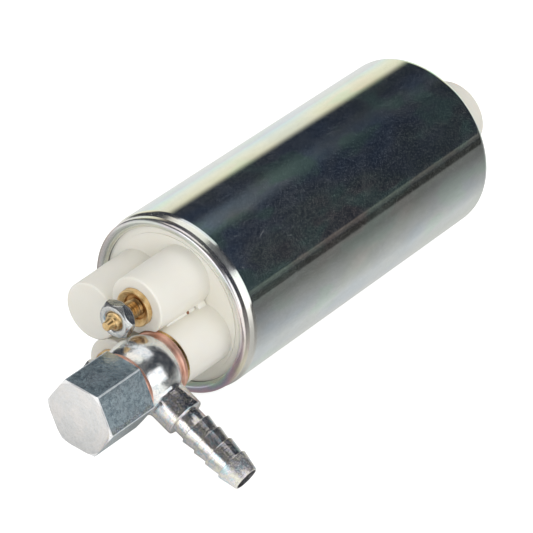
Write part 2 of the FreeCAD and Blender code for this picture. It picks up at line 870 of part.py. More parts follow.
def rotor_centre():
    """Centre of the outer rotor and of the ring's bore."""
    return Vector(0, rotor_eccentricity, 0)


def inner_rotor_point(turn):
    """Point of the inner rotor's outline: the outer rotor's round lobe rolled round it."""
    outer_teeth = inner_teeth + 1
    reach = rotor_pitch_radius
    throw = rotor_eccentricity
    y = reach * math.cos(turn) + throw * math.cos(outer_teeth * turn)
    z = reach * math.sin(turn) + throw * math.sin(outer_teeth * turn)
    slope_y = -reach * math.sin(turn) - outer_teeth * throw * math.sin(outer_teeth * turn)
    slope_z = reach * math.cos(turn) + outer_teeth * throw * math.cos(outer_teeth * turn)
    size = math.hypot(slope_y, slope_z)
    offset = rotor_lobe_radius + rotor_mesh_gap
    return y - offset * slope_z / size, z + offset * slope_y / size


def double_flat_bar(start, end, radius, flat):
    """Round bar with two flats, the shape of the shaft's driving end."""
    return rod(start, end, radius).common(block(start, end, 4 * radius, 2 * flat))


def inner_rotor():
    start = inlet_plate_top + rotor_side_gap
    end = pump_ring_top - rotor_side_gap
    count = inner_teeth * points_per_tooth
    points = []
    for i in range(count):
        y, z = inner_rotor_point(2 * math.pi * i / count)
        points.append(Vector(start, y, z))
    outline = Part.BSplineCurve()
    outline.interpolate(Points=points, PeriodicFlag=True)
    shape = Part.Face(Part.Wire(outline.toShape())).extrude(Vector(end - start, 0, 0))
    return shape.cut(double_flat_bar(start - cut_past, end + cut_past, shaft_radius + fit_gap,
                                     shaft_flat_distance + fit_gap))


def outer_rotor():
    """Ring with one more round lobe than the inner rotor has teeth."""
    start = inlet_plate_top + rotor_side_gap
    end = pump_ring_top - rotor_side_gap
    outer_teeth = inner_teeth + 1
    root_radius = rotor_pitch_radius + 2 * rotor_eccentricity - rotor_lobe_radius + rotor_root_gap
    hollow = rod(start - cut_past, end + cut_past, root_radius)
    for i in range(outer_teeth):
        lobe_centre = on_circle(rotor_pitch_radius, 360.0 * i / outer_teeth)
        hollow = hollow.cut(rod(start - 2 * cut_past, end + 2 * cut_past, rotor_lobe_radius, lobe_centre))
    corners = [edge for edge in hollow.Edges
               if edge.BoundBox.XLength > end - start]
    hollow = hollow.makeFillet(rotor_root_fillet, corners)
    shape = rod(start, end, outer_rotor_radius).cut(hollow)
    return place(shape, rotor_centre())


def screw_centres():
    return [on_circle(screw_circle_radius, 360.0 * i / screw_count) for i in range(screw_count)]


def port(start, end, middle):
    """Kidney-shaped port over the rotors' chambers on one side."""
    return ring_sector(start, end, port_inner_radius, port_outer_radius, middle, port_sweep)


def pump_outlet_plate():
    """Plate on the motor side: bearing seat, delivery port and screw holes."""
    shape = tube(pump_ring_top, outlet_plate_top, can_bore - fit_gap, bush_radius + fit_gap)
    shape = shape.cut(port(pump_ring_top - cut_past, outlet_plate_top + cut_past, delivery_port_angle))
    for centre in screw_centres():
        shape = shape.cut(rod(pump_ring_top - cut_past, outlet_plate_top + cut_past,
                              screw_radius + 2 * fit_gap, centre))
        shape = shape.cut(rod(outlet_plate_top - screw_head_height, outlet_plate_top + cut_past,
                              screw_head_radius + 2 * fit_gap, centre))
    relief = on_circle(relief_circle_radius, relief_angle)
    return shape.cut(rod(pump_ring_top - cut_past, outlet_plate_top + cut_past, relief_bore_radius, relief))


def pump_ring():
    """Ring whose eccentric bore carries the outer rotor."""
    shape = rod(inlet_plate_top, pump_ring_top, can_bore - fit_gap)
    shape = shape.cut(rod(inlet_plate_top - cut_past, pump_ring_top + cut_past,
                          outer_rotor_radius + running_gap, rotor_centre()))
    for centre in screw_centres():
        shape = shape.cut(rod(inlet_plate_top - cut_past, pump_ring_top + cut_past,
                              screw_radius + 2 * fit_gap, centre))
    relief = on_circle(relief_circle_radius, relief_angle)
    return shape.cut(rod(inlet_plate_top - cut_past, pump_ring_top + cut_past, relief_bore_radius, relief))


def pump_inlet_plate():
    """Plate on the inlet side: suction port, shaft pilot, screw threads and relief seat."""
    shape = rod(inlet_flange_top, inlet_plate_top, can_bore - fit_gap)
    shape = shape.cut(port(inlet_flange_top - cut_past, inlet_plate_top + cut_past, suction_port_angle))
    pilot_floor = inlet_plate_top - shaft_pilot_depth - end_float
    shape = shape.cut(rod(pilot_floor, inlet_plate_top + cut_past, shaft_radius + 2 * fit_gap))
    for centre in screw_centres():
        shape = shape.cut(rod(inlet_flange_top - cut_past, inlet_plate_top + cut_past,
                              screw_radius + fit_gap, centre))
    relief = on_circle(relief_circle_radius, relief_angle)
    shape = shape.cut(rod(inlet_flange_top - cut_past, inlet_plate_top + cut_past,
                          relief_bore_radius, relief))
    return shape.cut(rod(inlet_flange_top - cut_past, inlet_plate_top - relief_seat_depth,
                         relief_pocket_radius, relief))


def pump_screws():
    """Socket screws that clamp plate, ring and plate together."""
    screws = []
    head_seat = outlet_plate_top - screw_head_height
    for centre in screw_centres():
        shape = turned([
            (inlet_flange_top + fit_gap, 0),
            (inlet_flange_top + fit_gap, screw_radius, small_bevel),
            (head_seat, screw_radius),
            (head_seat, screw_head_radius),
            (outlet_plate_top - fit_gap, screw_head_radius, small_bevel),
            (outlet_plate_top - fit_gap, 0),
        ])
        socket = hexagon(outlet_plate_top - screw_socket_depth, outlet_plate_top + cut_past,
                         screw_socket_width, 0.0)
        screws.append(place(shape.cut(socket), centre))
    return group(screws)


def relief_ball_x():
    """Centre of the relief ball when it rests on the edge of its bore."""
    seat = inlet_plate_top - relief_seat_depth
    return seat - math.sqrt(relief_ball_radius ** 2 - relief_bore_radius ** 2) - running_gap


def relief_valve_ball():
    centre = on_circle(relief_circle_radius, relief_angle, relief_ball_x())
    return Part.makeSphere(relief_ball_radius, centre)


def relief_valve_spring():
    start = inlet_flange_top - relief_pocket_depth + fit_gap
    coil_radius = relief_pocket_radius - fit_gap - relief_spring_wire
    sag = math.sqrt(relief_ball_radius ** 2 - (coil_radius - relief_spring_wire / 2) ** 2)
    end = relief_ball_x() - sag - fit_gap
    return place(coil_spring(start, end, coil_radius, relief_spring_wire, relief_spring_turns),
                 on_circle(relief_circle_radius, relief_angle))


def inlet_cover():
    """White moulding: flange in the can's end and the spigot that the suction hose fits."""
    spigot_end = inlet_end - inlet_spigot_length
    collar_end = inlet_end - inlet_collar_height
    chamber_floor = inlet_flange_top - inlet_chamber_depth
    shape = turned([
        (spigot_end, inlet_bore_radius, inlet_spigot_chamfer / 2),
        (spigot_end, inlet_spigot_radius, inlet_spigot_chamfer),
        (collar_end, inlet_spigot_radius),
        (collar_end, inlet_spigot_radius + can_hole_gap - fit_gap),
        (inlet_floor, inlet_spigot_radius + can_hole_gap - fit_gap),
        (inlet_floor, can_bore - can_end_rounding),
        (inlet_floor + can_end_rounding - can_wall, can_bore - fit_gap),
        (inlet_flange_top, can_bore - fit_gap),
        (inlet_flange_top, inlet_chamber_radius),
        (chamber_floor, inlet_chamber_radius),
        (chamber_floor, inlet_bore_radius),
    ])
    groove = tube(inlet_floor - cut_past, inlet_floor + inlet_seal_depth,
                  inlet_seal_radius + inlet_seal_width / 2, inlet_seal_radius - inlet_seal_width / 2)
    shape = shape.cut(groove)
    relief = on_circle(relief_circle_radius, relief_angle)
    shape = shape.cut(rod(inlet_flange_top - relief_pocket_depth, inlet_flange_top + cut_past,
                          relief_pocket_radius, relief))
    channel_reach = relief_circle_radius - inlet_chamber_radius / 2
    channel = block(inlet_flange_top - relief_channel_depth, inlet_flange_top + cut_past, channel_reach,
                    relief_channel_width, Vector(0, relief_circle_radius - channel_reach / 2, 0))
    return shape.cut(turn_about_x(channel, relief_angle))


def inlet_seal():
    """Rubber ring between the inlet cover and the can's end."""
    section = inlet_seal_depth / 2 - fit_gap / 2
    return round_ring(inlet_floor + inlet_seal_depth / 2, inlet_seal_radius - section,
                      inlet_seal_radius + section)


def inlet_screen():
    """Coarse strainer at the inner end of the inlet bore."""
    end = inlet_flange_top - inlet_chamber_depth
    start = end - screen_thickness
    outer = inlet_bore_radius - fit_gap
    shape = tube(start, end, outer, outer - screen_rim_width)
    span = 2 * (outer - screen_rim_width / 2)
    pitch = span / (screen_bar_count + 1)
    bars = []
    for i in range(screen_bar_count):
        across = -span / 2 + pitch * (i + 1)
        length = 2 * math.sqrt((span / 2) ** 2 - across ** 2)
        bars.append(block(start, end, screen_bar_width, length, Vector(0, across, 0)))
        bars.append(block(start, end, length, screen_bar_width, Vector(0, 0, across)))
    return shape.multiFuse(bars).removeSplitter()


parts = {
    "can": can(),
    "outlet_cover": outlet_cover(),
    "cover_seal": cover_seal(),
    "outlet_nipple": outlet_nipple(),
    "check_valve_seat": check_valve_seat(),
    "check_valve_poppet": check_valve_poppet(),
    "check_valve_spring": check_valve_spring(),
    "banjo_fitting": banjo_fitting(),
    "banjo_washers": banjo_washers(),
    "cap_nut": cap_nut(),
    "terminal_stud_positive": terminal_stud(positive_angle, positive_lobe_height, positive_ring_to_nut),
    "terminal_stud_negative": terminal_stud(negative_angle, negative_lobe_height, negative_ring_to_nut),
    "terminal_rings": terminal_rings(),
    "terminal_nuts": terminal_nuts(),
    "brush_positive": brush(positive_angle),
    "brush_negative": brush(negative_angle),
    "brush_spring_positive": brush_spring(positive_angle, positive_lobe_height),
    "brush_spring_negative": brush_spring(negative_angle, negative_lobe_height),
    "outlet_bush": bush(outlet_bush_start, outlet_bush_start + bush_length),
    "pump_bush": bush(pump_ring_top + fit_gap, pump_bush_end),
    "magnet_left": magnet(0.0),
    "magnet_right": magnet(180.0),
    "magnet_clips": magnet_clips(),
    "spacer_ring": spacer_ring(),
    "armature_shaft": armature_shaft(),
    "thrust_washers": thrust_washers(),
    "armature_core": armature_core(),
    "armature_winding": armature_winding(),
    "commutator_hub": commutator_hub(),
    "commutator_segments": commutator_segments(),
    "inner_rotor": inner_rotor(),
    "outer_rotor": outer_rotor(),
    "pump_outlet_plate": pump_outlet_plate(),
    "pump_ring": pump_ring(),
    "pump_inlet_plate": pump_inlet_plate(),
    "pump_screws": pump_screws(),
    "relief_valve_ball": relief_valve_ball(),
    "relief_valve_spring": relief_valve_spring(),
    "inlet_cover": inlet_cover(),
    "inlet_seal": inlet_seal(),
    "inlet_screen": inlet_screen(),
}

os.makedirs("parts", exist_ok=True)
for name, shape in parts.items():
    shape.exportStep(os.path.join("parts", name + ".step"))
    print(name, len(shape.Solids), shape.isValid(), round(shape.Volume, 2))
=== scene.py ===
"""Looks of the electric fuel pump: turned and moulded pieces, finishes, floor, lamps and camera."""
import json
import math
from collections import namedtuple

import bmesh
import bpy
from mathutils import Matrix, Vector


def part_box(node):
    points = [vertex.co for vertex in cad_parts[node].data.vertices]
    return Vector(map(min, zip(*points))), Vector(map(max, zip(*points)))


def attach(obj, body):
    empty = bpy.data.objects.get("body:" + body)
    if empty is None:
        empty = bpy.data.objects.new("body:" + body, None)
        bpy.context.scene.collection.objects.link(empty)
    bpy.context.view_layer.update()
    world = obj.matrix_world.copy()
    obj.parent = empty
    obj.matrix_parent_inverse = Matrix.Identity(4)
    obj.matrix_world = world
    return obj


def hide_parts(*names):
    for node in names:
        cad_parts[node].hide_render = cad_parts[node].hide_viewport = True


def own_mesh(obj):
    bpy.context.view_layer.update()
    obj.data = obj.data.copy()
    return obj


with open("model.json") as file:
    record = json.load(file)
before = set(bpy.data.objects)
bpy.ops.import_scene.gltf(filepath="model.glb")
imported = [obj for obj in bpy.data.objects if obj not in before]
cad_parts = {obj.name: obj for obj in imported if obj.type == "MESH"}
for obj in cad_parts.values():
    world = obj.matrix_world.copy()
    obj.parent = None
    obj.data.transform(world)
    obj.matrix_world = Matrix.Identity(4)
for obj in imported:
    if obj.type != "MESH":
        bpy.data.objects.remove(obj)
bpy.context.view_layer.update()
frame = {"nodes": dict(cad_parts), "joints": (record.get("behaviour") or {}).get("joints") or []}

# Lengths are millimetres until a piece is finished; X runs along the can, from inlet to outlet
MM = 0.001
FLOOR_LEVEL = -26.0

# The can: half its length, its radius, where its neck starts, and the lip rolled over the cover
CAN_HALF = 55.0
CAN_RADIUS = 26.0
SHOULDER = 51.0
COVER_FACE = 52.9
LIP_BORE = 22.6

# The cover's lobes stand on one circle, at angles in degrees from Y towards Z
LOBE_CIRCLE = 11.6
OUTLET_ANGLE = -21.0
VALLEY_ANGLE = 24.0
Terminal = namedtuple("Terminal", "side angle lobe_end stud_end")
TERMINALS = (Terminal("positive", 69.0, 72.5, 82.2), Terminal("negative", 249.0, 73.1, 81.7))

# On the outlet lobe: the ball between its washers, the cap nut, and the barb's direction and last ridge
INNER_WASHER = 71.3
BALL_CENTRE = 79.15
BALL_FACE = 6.35
OUTER_WASHER = 85.5
WASHER_THICKNESS = 1.5
CAP_START = 87.0
CAP_END = 104.0
BARB_LINE = (0.0, 0.8741, -0.4857)
LAST_RIDGE = 32.8

WHITE = (1.0, 1.0, 1.0)

# A Mix node's sockets when it mixes colours
FACTOR, FIRST, SECOND, RESULT = 0, 6, 7, 2


# Shader maths


class Shade:
    """A number that a finish works with; arithmetic on it adds Math nodes."""

    def __init__(self, finish, socket):
        self.finish = finish
        self.socket = socket

    def math(self, operation, *others):
        return self.finish.math(operation, self, *others)

    def __add__(self, other):
        return self.math("ADD", other)

    def __sub__(self, other):
        return self.math("SUBTRACT", other)

    def __rsub__(self, other):
        return self.finish.math("SUBTRACT", other, self)

    def __mul__(self, other):
        return self.math("MULTIPLY", other)

    def __truediv__(self, other):
        return self.math("DIVIDE", other)

    def __rtruediv__(self, other):
        return self.finish.math("DIVIDE", other, self)

    def __pow__(self, other):
        return self.math("POWER", other)

    __radd__ = __add__
    __rmul__ = __mul__

    def most(self, other):
        """The larger of the two."""
        return self.math("MAXIMUM", other)

    def least(self, other):
        """The smaller of the two."""
        return self.math("MINIMUM", other)

    def wave(self):
        """A smooth ripple from 0 to 1, one for every full turn."""
        return self.math("SINE") * 0.5 + 0.5

    def rise(self, low, high):
        """0 up to low, 1 from high on and smooth between; with high below low, the other way."""
        flip = high < low
        ends = {"From Min": min(low, high), "From Max": max(low, high),
                "To Min": float(flip), "To Max": float(not flip)}
        return self.finish.node("ShaderNodeMapRange", {"interpolation_type": "SMOOTHSTEP"},
                                {"Value": self, **ends})


class Finish:
    """A material or a world, and the nodes in it."""

    def __init__(self, owner):
        owner.use_nodes = True
        self.owner = owner
        self.tree = owner.node_tree
        self.tree.nodes.clear()

    def node(self, kind, settings, inputs, output=0):
        """Adds one node: settings first, then each socket's value or link."""
        made = self.tree.nodes.new(kind)
        for name, setting in settings.items():
            if name == "stops":
                ramp = made.color_ramp.elements
                while len(ramp) < len(setting):
                    ramp.new(0.5)
                for stop, (place, colour) in zip(ramp, setting):
                    stop.position = place
                    stop.color = (*colour, 1.0)
            else:
                setattr(made, name, setting)
        for key, value in inputs.items():
            if isinstance(value, Shade):
                self.tree.links.new(value.socket, made.inputs[key])
            elif isinstance(value, tuple) and made.inputs[key].type == "RGBA":
                made.inputs[key].default_value = (*value, 1.0)
            else:
                made.inputs[key].default_value = value
        return Shade(self, made.outputs[output]) if made.outputs else None

    def math(self, operation, *values):
        return self.node("ShaderNodeMath", {"operation": operation}, dict(enumerate(values)))

    def spot(self, centre=(0, 0, 0), stretch=(1, 1, 1)):
        """Object coordinates in millimetres about a centre, then stretched."""
        where = self.node("ShaderNodeTexCoord", {}, {}, "Object")
        scale = tuple(s / MM for s in stretch)
        shift = tuple(-c * s for c, s in zip(centre, stretch))
        return self.node("ShaderNodeMapping", {}, {"Vector": where, "Location": shift, "Scale": scale})

    def axes(self, vector):
        """The three numbers in a vector."""
        parts = self.node("ShaderNodeSeparateXYZ", {}, {"Vector": vector})
        return [Shade(self, parts.socket.node.outputs[i]) for i in range(3)]

    def noise(self, where, scale, detail, roughness):
        """Soft clouds of about 0.5, finer with a larger scale."""
        return self.node("ShaderNodeTexNoise", {},
                         {"Vector": where, "Scale": scale, "Detail": detail, "Roughness": roughness})

    def dots(self, where, scale, size):
        """Sparse round specks: 1 in a speck, 0 outside."""
        gap = self.node("ShaderNodeTexVoronoi", {}, {"Vector": where, "Scale": scale})
        return gap.rise(size, size * 0.4)

    def nicks(self, where, slant, stretch, scale, share):
        """Short scratches at one slant, in a share of the cells of a pattern that is drawn out."""
        leaning = self.node("ShaderNodeMapping", {}, {"Vector": where, "Rotation": (0.0, 0.0, slant)})
        drawn_out = self.node("ShaderNodeMapping", {}, {"Vector": leaning, "Scale": (*stretch, 1.0)})
        cells = self.node("ShaderNodeTexVoronoi", {}, {"Vector": drawn_out, "Scale": scale})
        pick = self.axes(Shade(self, cells.socket.node.outputs["Color"]))[0]
        return cells.rise(0.09, 0.03) * pick.rise(1.0 - share, 1.01 - share)

    def ramp(self, value, *stops):
        """A colour for each value, through stops of (value, colour)."""
        return self.node("ShaderNodeValToRGB", {"stops": stops}, {"Fac": value})

    def mix(self, share, first, second, blend="MIX"):
        """The first colour with a share of the second."""
        return self.node("ShaderNodeMix", {"data_type": "RGBA", "blend_type": blend},
                         {FACTOR: share, FIRST: first, SECOND: second}, RESULT)

    def bump(self, height, depth):
        """Normal for a height of 0 to 1 that stands for a depth in millimetres."""
        return self.node("ShaderNodeBump", {}, {"Height": height, "Distance": depth * MM})

    def ray(self, kind):
        """1 for a ray of one kind, 0 for any other."""
        return self.node("ShaderNodeLightPath", {}, {}, "Is %s Ray" % kind)

    def surface(self, **inputs):
        """Ends a material with the shader and the values or links of its sockets."""
        named = {name.replace("_", " ").title(): value for name, value in inputs.items()}
        shader = self.node("ShaderNodeBsdfPrincipled", {}, named)
        self.node("ShaderNodeOutputMaterial", {}, {"Surface": shader})
        return self.owner


def finish(name):
    """A new material, still empty."""
    return Finish(bpy.data.materials.new(name))


def on_circle(degrees, x=0.0, radius=LOBE_CIRCLE):
    """The place at an angle on a circle round the can's axis."""
    turn = math.radians(degrees)
    return Vector((x, radius * math.cos(turn), radius * math.sin(turn)))


# Finishes


def can_plating():
    """Bright zinc over drawn steel: clouds of passivation colour, fine grain and small scratches."""
    f = finish("can_plating")
    where = f.spot()
    x, y, z = f.axes(where)
    radius = (y * y + z * z) ** 0.5
    turn = f.math("ARCTAN2", z, y)

    # Blue, grey, green and rose clouds, strongest on the can's upper side
    clouds = f.noise(f.spot(stretch=(0.5, 1, 1)), 0.055, 3.0, 0.55)
    cast = f.noise(f.spot((40, 13, 5), (0.5, 1, 1)), 0.13, 2.0, 0.5)
    colour = f.ramp(clouds, (0.32, (0.62, 0.78, 0.98)), (0.45, (0.78, 0.85, 0.90)),
                    (0.54, (0.78, 0.88, 0.80)), (0.68, (0.94, 0.84, 0.78)))
    sea_green, grey = (0.62, 0.94, 0.80), (0.82, 0.84, 0.835)
    colour = f.mix(cast.rise(0.5, 0.66) * 0.8, colour, sea_green)
    tinted = turn.rise(0.30, 0.50) * turn.rise(1.75, 1.40)
    colour = f.mix(tinted * 0.65 + 0.35, grey, colour)

    # Bare specks and two sets of scratches, on the can's skin laid out flat
    flat_skin = f.node("ShaderNodeCombineXYZ", {}, {"X": x, "Y": turn * CAN_RADIUS})
    rising = f.nicks(flat_skin, slant=0.35, stretch=(0.2, 2.9), scale=0.16, share=0.2)
    falling = f.nicks(flat_skin, slant=-0.5, stretch=(0.3, 3.2), scale=0.19, share=0.15)
    bare = f.dots(where, 0.42, 0.06) * 0.5 + (rising + falling).least(1.0) * 0.5
    bare_and_highlight_zinc = (0.95, 0.97, 1.0)
    colour = f.mix(bare, colour, bare_and_highlight_zinc)

    # Fine grain over larger mottle
    mottle = f.noise(f.spot(stretch=(0.6, 1, 1)), 0.22, 4.0, 0.62)
    grain = f.noise(where, 2.9, 1.0, 0.6)
    shade = f.ramp(grain * 0.6 + mottle * 0.4, (0.38, (0.72, 0.72, 0.72)), (0.62, WHITE))
    colour = f.mix(0.4, colour, shade, "MULTIPLY")

    # Warm neck, rainbow film on the lip, and painted shade: a dark line inside the lip where it meets
    # the cover
    warm, gap_shade_black = (0.90, 0.87, 0.81), (0.03, 0.03, 0.03)
    film = f.noise(f.spot((9, 4, 2), (1, 0.5, 0.5)), 0.12, 3.0, 0.55)
    film = film * 0.9 + (radius - LIP_BORE) * 0.10 - 0.08
    rainbow = f.ramp(film, (0.30, (0.82, 0.80, 0.68)), (0.42, (0.54, 0.76, 0.68)),
                     (0.52, (0.60, 0.56, 0.76)), (0.62, (0.84, 0.54, 0.68)), (0.74, (0.84, 0.76, 0.56)))
    colour = f.mix(x.rise(SHOULDER - 1.0, SHOULDER + 0.2) * 0.75, colour, warm)
    oily = z.rise(4.0, -12.0) * y.rise(-6.0, 8.0) * 0.55 + 0.22
    colour = f.mix(x.rise(COVER_FACE - 0.2, COVER_FACE + 0.2) * oily, colour, rainbow)
    # Painted shade: the lip's inner edge is darkened to near black where it meets the cover, as the
    # shade in that gap
    seam = x.rise(COVER_FACE + 0.8, COVER_FACE + 0.4) * x.rise(COVER_FACE - 0.2, COVER_FACE)
    seam = seam * radius.rise(LIP_BORE + 0.5, LIP_BORE + 0.2)
    colour = f.mix(seam * 0.9, colour, gap_shade_black)

    # Haze and dust dull the metal, most of all near the outlet
    dust = f.noise(where, 4.5, 2.0, 0.6).rise(0.55, 0.68) * (x.rise(-25.0, 45.0) * 0.12 + 0.02)
    haze = mottle.rise(0.45, 0.70) * 0.012 + grain.rise(0.46, 0.72) * 0.06 + dust
    haze = haze + cast.rise(0.46, 0.64) * 0.012
    rolled = x.rise(SHOULDER - 1.0, SHOULDER + 1.0)
    rough = 0.05 + clouds * 0.03 + grain * 0.03 + bare * 0.35 + rolled * 0.13
    drawn = f.noise(f.spot(stretch=(0.02, 1, 1)), 2.4, 3.0, 0.6)
    height = grain * 0.55 + drawn * 0.25 + mottle * 0.20
    return f.surface(base_color=colour, metallic=1.0 - haze - bare * 0.2, roughness=rough,
                     normal=f.bump(height, 0.0028))


def fitting_plating(name, rough, metal, pale, depth, contrast=0.6, tint=WHITE):
    """Bright zinc over machined steel: small blotches of blue, green and straw."""
    f = finish(name)
    where = f.spot()

    # Distances from the ball's centre, and what they tell apart
    x, y, z = f.axes(f.spot(on_circle(OUTLET_ANGLE, BALL_CENTRE)))
    along = y * BARB_LINE[1] + z * BARB_LINE[2]
    from_axis = (y * y + z * z) ** 0.5
    cap_end = CAP_END - BALL_CENTRE
    barb = along.rise(8.5, 9.5)
    tip = along.rise(LAST_RIDGE - 0.2, LAST_RIDGE + 0.8)
    cap = x.rise(7.0, 8.0)
    beside_face = x.rise(cap_end - 0.15, cap_end - 0.45)

    # Blotches, with a greyer face on the cap nut
    mottle = f.noise(where, 0.9, 4.0, 0.7)
    cast = f.noise(f.spot((3, 8, 2)), 0.22, 2.0, 0.5)
    grain = f.noise(where, 3.2, 3.0, 0.7)
    low, middle, high = pale * (1.0 - contrast * 0.4), pale * 0.93, pale
    colour = f.ramp(mottle, (0.36, (low * 0.92, low * 0.99, low * 1.05)),
                    (0.48, (middle * 0.97, middle, middle)), (0.64, (high, high, high * 0.99)))
    face_grey, blush = (pale * 0.88, pale * 0.87, pale * 0.895), (high, high * 0.95, high * 0.94)
    colour = f.mix((1.0 - beside_face) * 0.75, colour, face_grey)
    colour = f.mix(cast.rise(0.45, 0.65) * 0.5, colour, blush)
    speck = f.ramp(grain, (0.36, (0.66, 0.68, 0.70)), (0.58, WHITE))
    colour = f.mix(beside_face * (contrast - 0.3) + 0.3, colour, speck, "MULTIPLY")
    colour = f.mix(beside_face, colour, tint, "MULTIPLY")

    # Barb: dark marks of the cutter round it, pastel patches, and painted shade: its bore darkened to
    # near black
    cut_grey, bore_shade_black = (0.42, 0.42, 0.43), (0.10, 0.10, 0.11)
    cuts = f.noise(f.node("ShaderNodeCombineXYZ", {}, {"X": along}), 2.4, 3.0, 0.6)
    colour = f.mix(cuts.rise(0.52, 0.64) * barb * 0.5, colour, cut_grey)
    patch = f.noise(f.spot((2, 5, 9)), 0.55, 4.0, 0.7)
    pastel = f.ramp(patch, (0.40, (0.72, 0.90, 0.94)), (0.48, (0.94, 0.83, 0.90)),
                    (0.56, (0.95, 0.91, 0.78)))
    colour = f.mix(barb * 0.85, colour, pastel, "MULTIPLY")
    # Painted shade: the inside of the bore is darkened to near black, as the shade in the hole
    bore = (x * x + y * y + z * z - along * along).rise(11.2, 10.3) * barb
    colour = f.mix(bore * 0.85, colour, bore_shade_black)

    # Cap nut: straw rings of the cutter on its face, and painted highlights: its corners and edges made
    # near white
    straw, bare_and_highlight_zinc = (0.72, 0.70, 0.62), (0.98, 0.98, 0.99)
    rings = (from_axis * 5.0 + mottle * 4.0).wave()
    colour = f.mix(rings * (1.0 - beside_face) * 0.14, colour, straw)
    # Painted highlight: the cap nut's corners and the rim of its face are painted near white and made
    # less metallic
    corner = from_axis.rise(10.78, 10.88) * cap * 0.7
    edge = corner.most(x.rise(cap_end - 0.50, cap_end - 0.40) * x.rise(cap_end - 0.03, cap_end - 0.09))
    colour = f.mix(edge * 0.8, colour, bare_and_highlight_zinc)

    # Blotches, grain and marks dull the metal a little; the painted highlights on the edges and a
    # painted lighter facet of the cap (lit) are less metallic too
    dull = mottle.rise(0.48, 0.60) * 0.07
    lit = y.rise(5.5, 8.0) * cap * beside_face
    metal = metal - lit * 0.15 - dull - grain.rise(0.50, 0.68) * 0.06 - edge * 0.5
    metal = metal + barb * (dull - grain.rise(0.52, 0.62) * 0.09 + 0.03)
    pepper = f.noise(f.spot((5, 1, 3)), 2.1, 2.0, 0.6)
    metal = metal - barb * (cuts.rise(0.56, 0.64) * 0.06 + pepper.rise(0.48, 0.60) * 0.15) - tip * 0.16
    rough = rough * (1.0 - barb * 0.6) + mottle * 0.08 + grain * 0.06 + tip * 0.14
    dents = f.noise(f.spot((1, 7, 4)), 0.32, 2.0, 0.5)
    height = grain * 0.5 + mottle * 0.5 + cuts * barb * 0.9 + dents * (1.0 - barb) * 3.0
    return f.surface(base_color=colour, metallic=metal, roughness=rough, normal=f.bump(height, depth))


def moulding(name, light):
    """Cream-white moulded plastic with faint clouds, a few dark specks and one burnt dot."""
    f = finish(name)
    where = f.spot()
    clouds = f.noise(where, 0.09, 3.0, 0.5)
    skin = f.noise(where, 3.0, 3.0, 0.6)
    colour = f.ramp(clouds, (0.3, (light - 0.03, light - 0.055, light - 0.135)),
                    (0.7, (light, light - 0.02, light - 0.09)))
    brown, burnt = (0.28, 0.2, 0.13), (0.30, 0.12, 0.06)
    colour = f.mix(f.dots(where, 0.16, 0.035), colour, brown)
    x, y, z = f.axes(f.spot(on_circle(VALLEY_ANGLE, 59.6, 11.35)))
    colour = f.mix((x * x + y * y + z * z).rise(0.30, 0.12), colour, burnt)
    return f.surface(base_color=colour, roughness=0.40 + skin * 0.12, subsurface_weight=0.25,
                     subsurface_radius=(1.0, 0.8, 0.55), subsurface_scale=0.0015,
                     normal=f.bump(skin, 0.01))


def turned_metal(name, dark, light, rough, metallic=1.0, ring=(0, 0, 0), pitch=0.18, depth=0.004,
                 well=None):
    """Metal cut on a lathe: fine rings about X through a centre, tarnish clouds, and painted shade that
    darkens a well.
    """
    f = finish(name)
    where = f.spot()
    x, y, z = f.axes(f.spot(ring))
    radius = (y * y + z * z) ** 0.5
    rings = ((radius + x * 0.7) * (2 * math.pi / pitch)).wave()
    tarnish = f.noise(where, 0.45, 4.0, 0.6)
    grain = f.noise(where, 3.5, 2.0, 0.6)
    colour = f.ramp(tarnish, (0.33, dark), (0.62, light))
    if well is not None:
        # Painted shade: the brass deep in the well round the stud is darkened to amber-brown, as the
        # shade there
        well_shade_amber = (0.42, 0.16, 0.02)
        colour = f.mix(x.rise(well, well - 1.5) * radius.rise(3.7, 3.3) * 0.9, colour, well_shade_amber)
    rough = grain * 0.12 + tarnish * 0.08 + rough
    return f.surface(base_color=colour, metallic=metallic, roughness=rough,
                     normal=f.bump(rings * 0.5 + grain * 0.5, depth))


def grained(name, dark, light, rough, scale, depth, metallic):
    """Cast, sintered, pressed or rubber surface: two colours in a noise of one grain."""
    f = finish(name)
    where = f.spot()
    clouds = f.noise(where, scale * 0.15, 3.0, 0.55)
    grain = f.noise(where, scale, 3.0, 0.65)
    colour = f.ramp(clouds * 0.5 + grain * 0.5, (0.35, dark), (0.65, light))
    return f.surface(base_color=colour, metallic=metallic, roughness=grain * 0.2 + rough,
                     normal=f.bump(grain, depth))


def wound_wire():
    """Enamelled wire: parallel strands along the can."""
    f = finish("wound_wire")
    x, y, z = f.axes(f.spot())
    strands = (f.math("ARCTAN2", z, y) * 60.0 + x * 0.6).wave()
    clouds = f.noise(f.spot(), 0.5, 2.0, 0.5)
    shadow, enamel = (0.22, 0.07, 0.03), (0.62, 0.27, 0.13)
    colour = f.mix(strands * 0.6 + clouds * 0.4, shadow, enamel)
    return f.surface(base_color=colour, metallic=0.8, roughness=0.28 + clouds * 0.15,
                     coat_weight=0.5, normal=f.bump(strands, 0.12))


def stacked_sheets():
    """Iron laminations: fine lines across the can's axis."""
    f = finish("stacked_sheets")
    sheet = 0.5
    sheets = (f.axes(f.spot())[0] * (2 * math.pi / sheet)).wave()
    stain = f.noise(f.spot(), 0.7, 3.0, 0.6)
    colour = f.mix(stain, (0.16, 0.16, 0.17), (0.42, 0.41, 0.40))
    return f.surface(base_color=colour, metallic=0.9, roughness=0.4 + sheets * 0.15,
                     normal=f.bump(sheets, 0.04))


